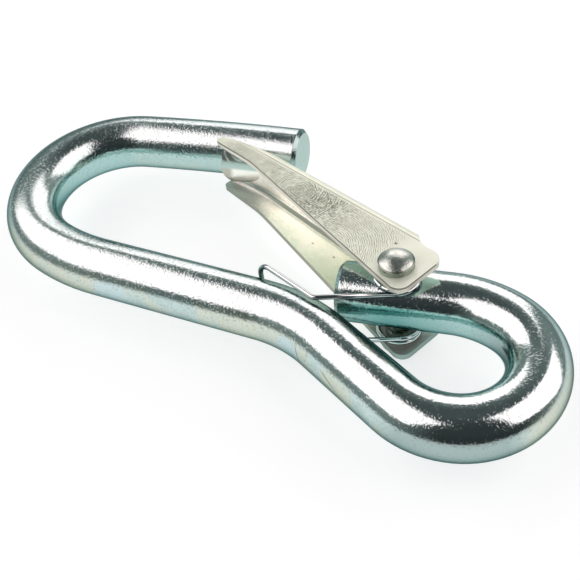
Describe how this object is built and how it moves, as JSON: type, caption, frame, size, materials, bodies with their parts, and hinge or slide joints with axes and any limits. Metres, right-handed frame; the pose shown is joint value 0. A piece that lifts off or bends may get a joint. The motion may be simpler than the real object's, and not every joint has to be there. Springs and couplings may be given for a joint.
{
  "type": "snap hook",
  "caption": "Round bar snap hook with a closed eye, a wide bowl and a sprung sheet latch that turns inwards on a rivet.",
  "frame": {"origin": "centre of the eye's back bend, on the bar's middle plane", "axes": "+X from the bowl towards the eye along the shank, +Y from the shank towards the hook's tip, +Z along the rivet, towards its made head"},
  "size_m": [0.1097, 0.061, 0.0198],
  "materials": {
    "bar": "bright zinc plate on drawn round bar, with fine speckle and a faint blue tint",
    "sheet": "pale zinc plate on folded sheet, with fine swirled scratches",
    "rivet": "satin zinc plate, with a worn head",
    "wire": "bright drawn spring wire"
  },
  "bodies": {
    "hook": {"hook_body": "bar", "rivet": "rivet", "spring": "wire"},
    "gate": {"latch": "sheet"}
  },
  "joints": [
    {"name": "latch_hinge", "type": "hinge", "parent": "hook", "child": "gate", "pos_m": [-0.01339, 0.00947, 0], "axis": [0, 0, 1], "range_deg": [0, 30.5], "stiffness_Nm_per_rad": 0.1, "springref_deg": -28.65, "deforming": ["spring"]}
  ]
}
